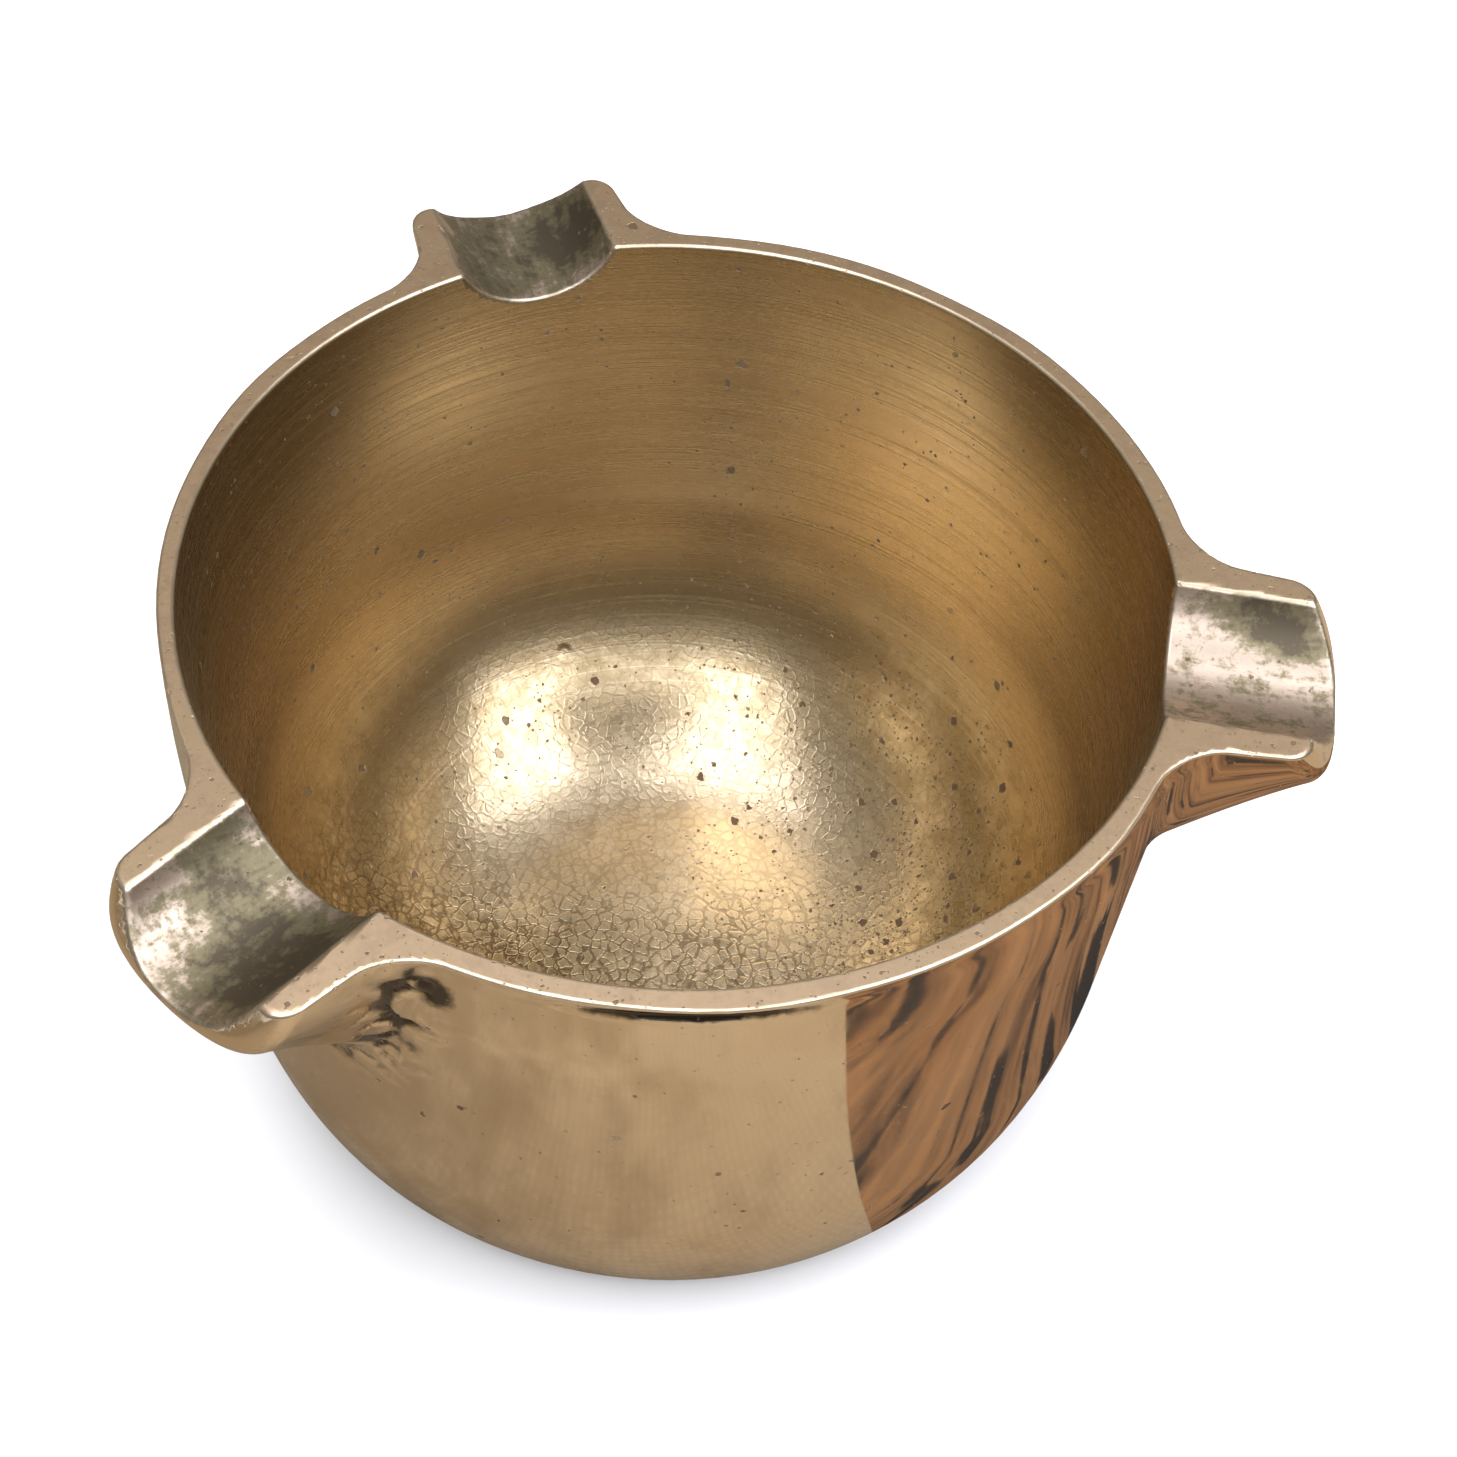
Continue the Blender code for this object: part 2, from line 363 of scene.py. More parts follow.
def graded_lines(steps):
    """Grid lines from a list of (end, spacing). The first entry is where the lines start."""
    lines = [steps[0][0]]
    for end, spacing in steps[1:]:
        count = max(1, round((end - lines[-1]) / spacing))
        lines.extend(np.linspace(lines[-1], end, count + 1)[1:])
    return np.array(lines)


def turn_lines():
    """Angles of the grid lines about the axis, closer together near each rest."""
    fine = np.linspace(0, math.tau, 7201)
    spacing = np.full(len(fine), COARSE_ARC)
    for degrees, _ in RESTS.values():
        arc = np.abs(np.radians(turn_from(fine, degrees))) * WALL_RADIUS
        blend = np.clip((arc - REST_SPAN) / 6.0, 0, 1)
        spacing = np.minimum(spacing, FINE_ARC + (COARSE_ARC - FINE_ARC) * blend)
    passed = np.concatenate([[0], np.cumsum(0.5 * (1 / spacing[1:] + 1 / spacing[:-1]))])
    return np.interp(np.arange(TURN_LINES) / TURN_LINES * passed[-1], passed, fine)


def piece_labels(grid, values):
    """Which piece each grid point lies in: 0 outside the metal, 1 the bowl, then a number for each rest."""
    labels = (values < 0).astype(np.int8)
    depth = HEIGHT - grid[..., 2]
    beyond = beyond_wall(grid)
    for number, (degrees, reach) in enumerate(RESTS.values(), start=2):
        along, across = rest_axes(grid, degrees)
        in_lug = lug(along, across, depth, reach) < SEAM_SHARE * root_fillet(depth)
        in_rest = (labels > 0) & (beyond > 0) & in_lug
        for _ in range(3):
            in_rest &= without_slivers(in_rest) | (beyond > SLIVER_REACH)
        labels[in_rest] = number
    while open_pinches(labels):
        pass
    return labels


def open_pinches(labels):
    """Gives the bowl each point of a rest that leaves a piece joined by one edge only, and counts them."""
    opened = 0
    for first, second in ((0, 1), (0, 2), (1, 2)):
        for one_way in (1, -1):
            for other_way in (1, -1):
                beside = np.roll(labels, one_way, first)
                above = np.roll(labels, other_way, second)
                across = np.roll(beside, other_way, second)
                bowl_apart = (labels > 1) & (across != 1) & (beside == 1) & (above == 1)
                rest_apart = (labels > 1) & (across == labels) & (beside != labels) & (above != labels)
                labels[bowl_apart | rest_apart] = 1
                opened += np.count_nonzero(bowl_apart | rest_apart)
    return opened


def without_slivers(inside):
    """Drops the points of a region that stand alone along any of the grid's three directions."""
    kept = inside.copy()
    for axis in range(3):
        kept &= np.roll(inside, 1, axis) | np.roll(inside, -1, axis)
    return kept


def cell_faces(labels):
    """Every face of the mesh as (piece on the lower side, piece on the upper side, four cells around it)."""
    turns, radii, heights = labels.shape
    number = np.arange(turns * (radii - 1) * (heights - 1)).reshape(turns, radii - 1, heights - 1)
    behind = np.roll(number, 1, axis=0)
    found = []

    def add(lower, upper, corners):
        differ = lower != upper
        found.append((lower[differ], upper[differ], np.stack([c[differ] for c in corners], axis=1)))

    # Across the turning direction. The corners are wound so that the face looks towards the upper side.
    ahead = np.roll(labels, -1, axis=0)
    inner = (slice(None), slice(1, -1), slice(1, -1))
    cells = number[:, :-1, :-1], number[:, :-1, 1:], number[:, 1:, 1:], number[:, 1:, :-1]
    add(labels[inner], ahead[inner], cells)
    # Outwards
    cells = behind[:, :, :-1], number[:, :, :-1], number[:, :, 1:], behind[:, :, 1:]
    add(labels[:, :-1, 1:-1], labels[:, 1:, 1:-1], cells)
    # Upwards
    cells = behind[:, :-1], behind[:, 1:], number[:, 1:], number[:, :-1]
    add(labels[:, 1:-1, :-1], labels[:, 1:-1, 1:], cells)
    lower, upper, corners = (np.concatenate(part) for part in zip(*found))
    return lower, upper, corners, number


def thinned(number, radii):
    """For each cell the cell that stands for it, so that faces near the axis don't turn into slivers."""
    middle = (radii[1:] + radii[:-1]) / 2
    arc = math.tau * middle / TURN_LINES
    doublings = np.clip(np.ceil(np.log2(LEAST_ARC / np.maximum(arc, 1e-6))), 0, 5).astype(int)
    turns = np.arange(len(number))[:, None]
    keeper = turns - turns % (2 ** doublings)[None, :]
    return number[keeper, np.arange(len(middle))[None, :], :].reshape(-1)


def axis_caps(labels, number, keeper):
    """The two faces that close the mesh on its axis, one on the floor and one under the foot."""
    caps = []
    column = labels[0, 0]
    for k in np.flatnonzero(column[1:] != column[:-1]):
        ring = list(dict.fromkeys(keeper[number[:, 0, k]].tolist()))
        caps.append(ring if column[k] > 0 else ring[::-1])
    return caps


def start_points(values, cells, lines):
    """A point in each cell: the mean of where its edges cross the surface, or its middle if none does."""
    turns, radii, heights = lines
    count = len(turns)
    i, j, k = cells
    wrapped = np.append(turns, math.tau)
    corner_values = {}
    for a in (0, 1):
        for b in (0, 1):
            for c in (0, 1):
                corner_values[a, b, c] = values[(i + a) % count, j + b, k + c]
    total = np.zeros((len(i), 3))
    hits = np.zeros(len(i))
    for a, b, c in corner_values:
        for axis in range(3):
            start = (a, b, c)
            if start[axis] == 1:
                continue
            end = tuple(1 if n == axis else start[n] for n in range(3))
            first, second = corner_values[start], corner_values[end]
            crosses = (first < 0) != (second < 0)
            share = np.where(crosses, first / np.where(crosses, first - second, 1.0), 0.0)
            place = np.tile(np.array(start, float), (len(i), 1))
            place[:, axis] += share
            total += place * crosses[:, None]
            hits += crosses
    place = np.where(hits[:, None] > 0, total / np.maximum(hits, 1)[:, None], 0.5)
    angle = wrapped[i] + place[:, 0] * (wrapped[i + 1] - wrapped[i])
    radius = radii[j] + place[:, 1] * (radii[j + 1] - radii[j])
    height = heights[k] + place[:, 2] * (heights[k + 1] - heights[k])
    return np.stack([radius * np.cos(angle), radius * np.sin(angle), height], axis=1)


def evened(points, corners):
    """Moves each point halfway to the middle of its neighbours, so that no face is left very small."""
    total = np.zeros_like(points)
    count = np.zeros(len(points))
    for first, second in zip(corners.T, np.roll(corners, 1, axis=1).T):
        apart = first != second
        np.add.at(total, first[apart], points[second[apart]])
        np.add.at(total, second[apart], points[first[apart]])
        np.add.at(count, first[apart], 1)
        np.add.at(count, second[apart], 1)
    middle = total / np.maximum(count, 1)[:, None]
    return np.where(count[:, None] > 0, (points + middle) / 2, points)


def welded(points, corners):
    """Makes one point of any two that lie very close together on one face."""
    keeper = np.arange(len(points))
    for first, second in zip(corners.T, np.roll(corners, 1, axis=1).T):
        near = np.linalg.norm(points[first] - points[second], axis=1) < WELD
        for a, b in zip(first[near].tolist(), second[near].tolist()):
            while keeper[a] != a:
                a = keeper[a]
            while keeper[b] != b:
                b = keeper[b]
            keeper[max(a, b)] = min(a, b)
    while (keeper != keeper[keeper]).any():
        keeper = keeper[keeper]
    return keeper[corners]


def without_folds(faces, seam):
    """Drops faces with fewer than three corners, and pairs that lie back to back on the same corners."""
    whole = [(face, inner) for face, inner in zip(faces, seam) if len(face) > 2]
    times = {}
    for face, _ in whole:
        key = frozenset(face)
        times[key] = times.get(key, 0) + 1
    kept = [(face, inner) for face, inner in whole if times[frozenset(face)] == 1]
    return [face for face, _ in kept], [inner for _, inner in kept]


def build_surface():
    """Meshes the whole casting. Returns points, normals, and each piece's faces and their seam flags."""
    lines = turn_lines(), graded_lines(RADIUS_STEPS), graded_lines(HEIGHT_STEPS)
    turn, radius, height = np.meshgrid(*lines, indexing="ij")
    grid = np.stack([radius * np.cos(turn), radius * np.sin(turn), height], axis=-1)
    values = casting(grid, detail=False)
    labels = piece_labels(grid, values)
    lower, upper, corners, number = cell_faces(labels)
    keeper = thinned(number, lines[1])
    caps = axis_caps(labels, number, keeper)
    corners = keeper[corners]
    used, flat = np.unique(np.concatenate([corners.reshape(-1)] + [np.array(cap) for cap in caps]),
                           return_inverse=True)
    split = corners.size
    corners = flat[:split].reshape(corners.shape)
    cap_starts = np.cumsum([split] + [len(cap) for cap in caps])
    caps = [flat[a:b] for a, b in zip(cap_starts, cap_starts[1:])]

    outer = np.zeros(len(used), bool)
    touches_air = (lower == 0) | (upper == 0)
    outer[corners[touches_air].reshape(-1)] = True
    for cap in caps:
        outer[cap] = True
    points = start_points(values, np.unravel_index(used, number.shape), lines)
    points[outer] = settle(points[outer], casting)
    points[~outer] = settle(points[~outer], beyond_wall)
    for _ in range(RELAX_ROUNDS):
        points[outer] = evened(points, corners[touches_air])[outer]
        points[outer] = settle(points[outer], casting)
    corners = welded(points, corners)
    normals = slope(casting, points)
    normals /= np.maximum(np.linalg.norm(normals, axis=1), 1e-9)[:, None]

    pieces = {}
    for label, name in enumerate(["bowl"] + list(RESTS), start=1):
        facing_up = corners[lower == label]
        facing_down = corners[upper == label][:, ::-1]
        seam = np.concatenate([upper[lower == label], lower[upper == label]]) > 0
        faces = np.concatenate([facing_up, facing_down]).tolist()
        pieces[name] = [list(dict.fromkeys(face)) for face in faces], seam.tolist()
    for cap in caps:
        pieces["bowl"][0].append(cap.tolist())
        pieces["bowl"][1].append(False)
    pieces = {name: without_folds(*parts) for name, parts in pieces.items()}
    return points, normals, pieces


# --------------------
# Where each finish lies, and where shade is painted
# --------------------

def ease(value, start, end):
    """0 before start, 1 after end and smooth between. Start may be the larger of the two."""
    share = np.clip((value - start) / (end - start), 0, 1)
    return share * share * (3 - 2 * share)


def trough_stains(name, along, across):
    """Where the stains of one trough lie, 0 to 1."""
    total = 0.0
    for out, side, size, strength in TROUGH_STAINS[name]:
        spot = ((along - out) / STAIN_LENGTH) ** 2 + (across - side) ** 2
        total = total + strength * np.exp(-spot / size ** 2)
    return np.minimum(total, 1.0)


def bending(points):
    """How sharply the surface bends at each point: above 0 on an edge and below 0 in a corner."""
    total = 0.0
    for axis in range(3):
        offset = np.zeros(3)
        offset[axis] = BEND_REACH
        total = total + casting(points + offset) + casting(points - offset)
    return total / BEND_REACH


def finish_masks(points, normals):
    """How much of each finish every point of the surface has, from 0 to 1, and where shade is painted."""
    radius = np.hypot(points[:, 0], points[:, 1])
    angle = np.arctan2(points[:, 1], points[:, 0])
    depth = HEIGHT - points[:, 2]
    inside = ease(np.abs(hollow(radius, depth)), 0.5, 0.1)
    top = ease(depth, 0.25, 0.05) * ease(normals[:, 2], 0.7, 0.98)
    outside = (depth > 0.5) & (inside < 0.5)
    # A painted shadow line under the notch below the near rim.
    groove = bump_at(turn_from(angle, UNDERCUT["angle"]), 0, UNDERCUT["spread"] * 1.2)
    burnt = groove * bump_at(depth, UNDERCUT["depth"], 0.7) * outside
    trough = np.zeros(len(points))
    stained = np.zeros(len(points))
    for name, (degrees, reach) in RESTS.items():
        along, across = rest_axes(points, degrees)
        near = ease(np.abs(trough_wall(along, across, points[:, 2])), 0.3, 0.08)
        trough = np.maximum(trough, near)
        stained = np.maximum(stained, near * trough_stains(name, along, across))
        if name == BRAZED_REST:
            from_wall = np.abs(plain_wall(radius, depth))
            from_lug = np.abs(lug(along, across, depth, reach))
            beside = (along > 0) & (across > 0) & outside & (near < 0.5)
            blotch = bump_at(across, BLOTCH["across"], BLOTCH["size"] * 0.7)
            blotch = blotch * bump_at(depth, BLOTCH["depth"], BLOTCH["size"])
            # Painted shade in the braze crevices, and a painted dark reflection in the spot beside them.
            burnt = np.maximum(burnt, np.maximum(braze(points, depth, from_wall, from_lug), blotch) * beside)
    bend = bending(points)
    return {
        "inside": inside * (1 - trough),
        "top": top,
        "trough": trough * (1 - top),
        "stained": stained * (1 - top),
        "edge": ease(bend, 0.25, 1.2),
        "corner": ease(-bend, 0.05, 0.5),
        "burnt": burnt,
    }


# --------------------
# Materials
# --------------------

class Nodes:
    """Short calls for building one material's node tree."""

    def __init__(self, name):
        self.material = bpy.data.materials.new(name)
        self.material.use_nodes = True
        self.tree = self.material.node_tree
        self.shader = self.tree.nodes["Principled BSDF"]

    def add(self, kind, inputs, **settings):
        """A new node. Its settings come first, because they decide which sockets it has."""
        made = self.tree.nodes.new(kind)
        for key, value in settings.items():
            setattr(made, key, value)
        for key, value in inputs.items():
            self.put(made.inputs[key], value)
        return made

    def put(self, socket, value):
        """Feeds a socket from another socket, a colour or a number."""
        if isinstance(value, bpy.types.NodeSocket):
            self.tree.links.new(value, socket)
        elif isinstance(value, tuple) and len(value) == 3 and socket.type == "RGBA":
            socket.default_value = (*value, 1.0)
        else:
            socket.default_value = value

    def calc(self, operation, first, second=0.0, clamp=False):
        made = self.add("ShaderNodeMath", {0: first, 1: second}, operation=operation, use_clamp=clamp)
        return made.outputs[0]

    def times(self, first, *others):
        for other in others:
            first = self.calc("MULTIPLY", first, other)
        return first

    def plus(self, first, *others):
        for other in others:
            first = self.calc("ADD", first, other)
        return first

    def vector(self, operation, first, second=(0.0, 0.0, 0.0)):
        return self.add("ShaderNodeVectorMath", {0: first, 1: second}, operation=operation).outputs[0]

    def ease(self, value, start, end, low=0.0, high=1.0):
        """Goes smoothly from low at start to high at end. Start may be the larger of the two."""
        inputs = {"Value": value, "From Min": start, "From Max": end, "To Min": low, "To Max": high}
        return self.add("ShaderNodeMapRange", inputs, interpolation_type="SMOOTHSTEP").outputs[0]

    def noise(self, vector, scale, detail=3.0, roughness=0.5, distortion=0.0, w=None):
        """Cloudy noise, mostly between 0.3 and 0.7, with w as a fourth coordinate if it is given."""
        inputs = {"Vector": vector, "Scale": scale, "Detail": detail, "Roughness": roughness}
        inputs["Distortion"] = distortion
        if w is not None:
            inputs["W"] = w
        dimensions = "3D" if w is None else "4D"
        return self.add("ShaderNodeTexNoise", inputs, noise_dimensions=dimensions).outputs["Fac"]

    def cells(self, vector, scale, feature="F1"):
        return self.add("ShaderNodeTexVoronoi", {"Vector": vector, "Scale": scale}, feature=feature)

    def mix(self, share, first, second):
        """A colour that goes from first to second."""
        made = self.add("ShaderNodeMix", {}, data_type="RGBA")
        self.put(made.inputs[0], share)
        self.put(made.inputs[6], first)
        self.put(made.inputs[7], second)
        return made.outputs[2]

    def blend(self, share, first, second):
        """A plain number that goes from first to second."""
        made = self.add("ShaderNodeMix", {}, data_type="FLOAT")
        self.put(made.inputs[0], share)
        self.put(made.inputs[2], first)
        self.put(made.inputs[3], second)
        return made.outputs[0]

    def mask(self, name):
        """One of the masks stored on the mesh, for a finish or for painted shade."""
        return self.add("ShaderNodeAttribute", {}, attribute_name=name).outputs["Fac"]

    def bump(self, height, distance, strength, under=None):
        inputs = {"Height": height, "Distance": distance, "Strength": strength}
        if under is not None:
            inputs["Normal"] = under
        return self.add("ShaderNodeBump", inputs).outputs[0]


def places(n):
    """The point on the object in millimetres, its radius and its direction about the axis."""
    position = n.add("ShaderNodeTexCoord", {}).outputs["Object"]
    point = n.add("ShaderNodeVectorMath", {0: position, "Scale": 1 / MM}, operation="SCALE").outputs[0]
    split = n.add("ShaderNodeSeparateXYZ", {0: point})
    level = n.add("ShaderNodeCombineXYZ", {0: split.outputs[0], 1: split.outputs[1], 2: 0.0}).outputs[0]
    radius = n.add("ShaderNodeVectorMath", {0: level}, operation="LENGTH").outputs["Value"]
    around = n.add("ShaderNodeVectorMath", {0: level}, operation="NORMALIZE").outputs[0]
    return point, split.outputs[2], radius, around


def lathe_lines(n, around, radius, height, fineness, stretch):
    """Fine rings left by the lathe: quick change across the wall, slow change around it."""
    turned = n.add("ShaderNodeVectorMath", {0: around, "Scale": stretch}, operation="SCALE").outputs[0]
    lifted = n.add("ShaderNodeCombineXYZ", {2: n.calc("MULTIPLY", height, fineness)}).outputs[0]
    spun = n.vector("ADD", turned, lifted)
    return n.noise(spun, 1.0, detail=4.0, roughness=0.65, w=n.calc("MULTIPLY", radius, fineness))


def shaken(n, point, scale, reach):
    """The point moved about by noise, which makes outlines ragged."""
    stray = n.add("ShaderNodeTexNoise", {"Vector": point, "Scale": scale, "Detail": 2.0}).outputs["Color"]
    centred = n.vector("SUBTRACT", stray, (0.5, 0.5, 0.5))
    moved = n.add("ShaderNodeVectorMath", {0: centred, "Scale": reach}, operation="SCALE").outputs[0]
    return n.vector("ADD", point, moved)


def pits(n, point, scale, size, amount):
    """Ragged casting pits of uneven size. The larger the amount, the more cells have one."""
    dots = n.cells(shaken(n, point, 2.2 * scale, 0.7 / scale), scale)
    chance = n.add("ShaderNodeSeparateColor", {0: dots.outputs["Color"]})
    present = n.ease(n.plus(chance.outputs[0], amount), 0.98, 1.0)
    reach = n.ease(chance.outputs[1], 0.0, 1.0, 0.3 * size, size)
    spot = n.ease(n.calc("SUBTRACT", dots.outputs["Distance"], reach), 0.05, -0.07)
    return n.times(present, spot)


def dent(n, point, place, size):
    """A small round knock in the metal, 1 at its centre."""
    away = n.add("ShaderNodeVectorMath", {0: point, 1: place}, operation="DISTANCE").outputs["Value"]
    return n.ease(away, size, 0.25 * size)


def brass_fields(n):
    """What the metal's looks are mixed from: places, the mesh's masks, noises and lathe lines."""
    names = ("inside", "top", "trough", "stained", "edge", "corner", "burnt")
    look = SimpleNamespace(**{name: n.mask(name) for name in names})
    look.point, look.height, look.radius, around = places(n)
    flat = n.add("ShaderNodeSeparateXYZ", {0: look.point})

    look.cloudy = n.noise(look.point, 0.045, detail=4.0, roughness=0.6)
    look.mottled = n.noise(look.point, 0.35, detail=5.0, roughness=0.65)
    look.speckled = n.noise(look.point, 1.6, detail=4.0, roughness=0.7)
    look.rings = lathe_lines(n, around, look.radius, look.height, 3.4, 0.8)
    look.streaks = lathe_lines(n, around, look.radius, look.height, 0.12, 70.0)
    look.bands = lathe_lines(n, around, look.radius, look.height, 0.5, 0.5)

    look.floor = n.times(look.inside, n.ease(look.height, 24.0, 8.0))
    look.outside = n.calc("SUBTRACT", 1.0, n.plus(look.inside, look.top, look.trough), clamp=True)
    look.rightwards = n.ease(n.plus(flat.outputs[0], n.times(look.cloudy, 16.0)), 8.0, 34.0)
    forward = n.plus(flat.outputs[1], n.times(look.cloudy, 20.0))
    look.frontwards = n.ease(forward, 18.0, -4.0, 0.25, 1.0)
    uneven = n.plus(n.ease(look.mottled, 0.3, 0.7, -0.30, 0.34),
                    n.ease(look.streaks, 0.3, 0.7, -0.16, 0.16),
                    n.ease(look.speckled, 0.35, 0.65, -0.12, 0.16))
    look.patina = n.plus(look.stained, uneven)
    return look


def casting_pits(n, look):
    """Pits of three sizes, most on the right of the floor, some low outside and fine ones on the rim."""
    gathered = n.ease(n.noise(look.point, 0.11, detail=3.0), 0.52, 0.72)
    low = n.times(look.outside, n.ease(look.height, 18.0, 10.0), gathered)
    wide = n.plus(n.times(look.floor, look.rightwards, 0.13), n.times(look.floor, 0.014))
    fine = n.plus(wide, n.times(low, 0.22), n.times(look.top, 0.06), n.times(look.inside, gathered, 0.07))
    wide_pits = pits(n, look.point, 0.8, 0.42, n.plus(wide, 0.003))
    fine_pits = n.times(pits(n, look.point, 1.7, 0.42, n.plus(fine, 0.004)), 0.85)
    dust = n.times(pits(n, look.point, 3.2, 0.45, n.times(fine, 1.6)), 0.7)
    return n.calc("MAXIMUM", n.calc("MAXIMUM", wide_pits, fine_pits), dust)


def floor_crackle(n, look):
    """A net of dark lines over the floor and the blots among them, strongest towards the front."""
    web = n.cells(shaken(n, look.point, 0.7, 1.1), 0.80, feature="DISTANCE_TO_EDGE").outputs["Distance"]
    net = n.times(n.ease(web, 0.15, 0.05), n.ease(look.speckled, 0.25, 0.45, 0.4, 1.0))
    blots = n.ease(n.noise(look.point, 0.8, detail=4.0, roughness=0.6), 0.47, 0.62)
    in_front = n.ease(look.frontwards, 0.4, 1.0)
    return n.times(look.floor, look.frontwards, net), n.times(look.floor, in_front, blots)


def turned_colour(n, look, colour):
    """The inside, tarnished low on the wall, with lathe rings painted in: darker grooves as painted shade,
    lighter ridges as painted highlight.
    """
    colour = n.mix(look.inside, colour, TURNED)
    colour = n.mix(look.floor, colour, FLOOR)
    around_middle = n.calc("MAXIMUM", n.ease(look.radius, 12.0, 34.0), n.ease(look.frontwards, 0.5, 1.0))
    dulled = n.times(look.inside, around_middle, n.ease(look.mottled, 0.25, 0.7, 0.6, 1.0))
    colour = n.mix(n.times(dulled, n.ease(look.height, 30.0, 14.0)), colour, TARNISH)
    # The lathe rings: painted shade in the grooves and bands, and painted highlight on the ridges.
    colour = n.mix(n.times(look.inside, n.ease(look.bands, 0.45, 0.68, 0.0, 0.3)), colour, GROOVE_SHADE)
    colour = n.mix(n.times(look.inside, n.ease(look.rings, 0.50, 0.66, 0.0, 0.38)), colour, GROOVE_SHADE)
    return n.mix(n.times(look.inside, n.ease(look.rings, 0.48, 0.34, 0.0, 0.3)), colour, RIDGE_HIGHLIGHT)


def filed_colour(n, look, colour):
    """The flat filed top of the rim, dull in patches."""
    colour = n.mix(look.top, colour, FILED)
    colour = n.mix(n.times(look.top, n.ease(look.mottled, 0.42, 0.66, 0.0, 0.8)), colour, FILED_DULL)
    return n.mix(n.times(look.top, n.ease(look.speckled, 0.58, 0.72, 0.0, 0.6)), colour, TARNISH)


def trough_colour(n, look):
    """The troughs: pinkish metal, then patina, then dark stains, with specks over all of it."""
    colour = n.mix(n.ease(look.patina, -0.05, 0.45), PINK, PATINA)
    colour = n.mix(n.ease(look.patina, 0.5, 1.0, 0.0, 0.9), colour, STAIN_AND_SHADE)
    return n.mix(n.ease(look.speckled, 0.60, 0.70, 0.0, 0.7), colour, PIT)


def brass_colour(n, look):
    """Base colour: polished metal, each finish over it, crackle, darker corners, pits, wear with a painted
    highlight, and painted shade.
    """
    colour = n.mix(n.ease(look.cloudy, 0.35, 0.65), POLISHED, CLOUDED)
    colour = n.mix(n.times(look.outside, n.ease(look.mottled, 0.45, 0.75, 0.0, 0.35)), colour, CLOUDED)
    colour = turned_colour(n, look, colour)
    colour = filed_colour(n, look, colour)
    colour = n.mix(n.times(look.trough, 0.92), colour, trough_colour(n, look))
    colour = n.mix(n.times(look.blots, 0.8), colour, CRACKLE)
    colour = n.mix(n.times(look.crackle, 0.9), colour, CRACKLE)
    # Darker in the concave corners.
    colour = n.mix(n.times(look.corner, n.ease(look.mottled, 0.3, 0.7, 0.0, 0.35)), colour, STAIN_AND_SHADE)
    colour = n.mix(look.pits, colour, PIT)
    # Worn edges, made lighter than the polished metal as a painted highlight.
    colour = n.mix(n.times(look.edge, n.ease(look.mottled, 0.3, 0.6, 0.8, 0.3)), colour, WORN_AND_HIGHLIGHT)
    # Painted shade: the shadow line under the notch, the braze crevices and the dark reflection beside them.
    painted_shade_share = n.ease(n.plus(look.burnt, n.ease(look.mottled, 0.3, 0.7, -0.15, 0.15)), 0.2, 0.6)
    return n.mix(painted_shade_share, colour, STAIN_AND_SHADE)


def brass_roughness(n, look):
    """Bright on the polished outside, softer inside and on the top, and dull in the troughs and pits."""
    rough = n.ease(look.mottled, 0.3, 0.7, 0.035, 0.09)
    rough = n.blend(look.inside, rough, n.ease(look.rings, 0.35, 0.65, 0.20, 0.30))
    rough = n.blend(look.floor, rough, n.ease(look.mottled, 0.3, 0.7, 0.19, 0.30))
    rough = n.blend(look.top, rough, n.ease(look.mottled, 0.3, 0.7, 0.30, 0.40))
    rough = n.blend(look.trough, rough, n.ease(look.patina, -0.3, 0.6, 0.36, 0.56))
    rough = n.blend(look.edge, rough, 0.38)
    return n.calc("ADD", rough, n.times(look.pits, 0.4), clamp=True)


def brass_relief(n, look):
    """Relief too fine for the mesh: lathe lines, grain, pits, crackle and knocks. Distances are in metres."""
    normal = n.bump(n.times(look.rings, n.blend(look.inside, 0.05, 1.0)), 0.00003, 0.4)
    grain = n.times(look.speckled, n.blend(look.top, 0.03, 0.25))
    grain = n.blend(look.trough, grain, n.plus(look.streaks, n.times(look.speckled, 0.5)))
    normal = n.bump(grain, 0.00004, 0.5, normal)
    sunk = n.plus(look.pits, n.times(look.crackle, 0.4))
    normal = n.bump(n.calc("SUBTRACT", 1.0, sunk), 0.00008, 0.8, normal)
    for place, size in DENTS:
        normal = n.bump(n.calc("SUBTRACT", 1.0, dent(n, look.point, place, size)), 0.00015, 0.5, normal)
    return normal


def stretch_highlights(n):
    """Makes highlights long across the lathe's grooves, which run round the axis."""
    n.shader.inputs["Anisotropic"].default_value = 0.6
    n.shader.inputs["Anisotropic Rotation"].default_value = 0.25
    tangent = n.add("ShaderNodeTangent", {}, direction_type="RADIAL", axis="Z").outputs[0]
    n.put(n.shader.inputs["Tangent"], tangent)


def brass(name, turned):
    """The bowl's metal. The turned version is for the inside, whose grooves stretch the highlights."""
    n = Nodes(name)
    look = brass_fields(n)
    look.pits = casting_pits(n, look)
    look.crackle, look.blots = floor_crackle(n, look)
    n.put(n.shader.inputs["Base Color"], brass_colour(n, look))
    n.put(n.shader.inputs["Roughness"], brass_roughness(n, look))
    n.put(n.shader.inputs["Normal"], brass_relief(n, look))
    n.put(n.shader.inputs["Metallic"], n.calc("SUBTRACT", 1.0, n.times(look.pits, 0.4)))
    if turned:
        stretch_highlights(n)
    return n.material


# --------------------
# Pieces
# --------------------

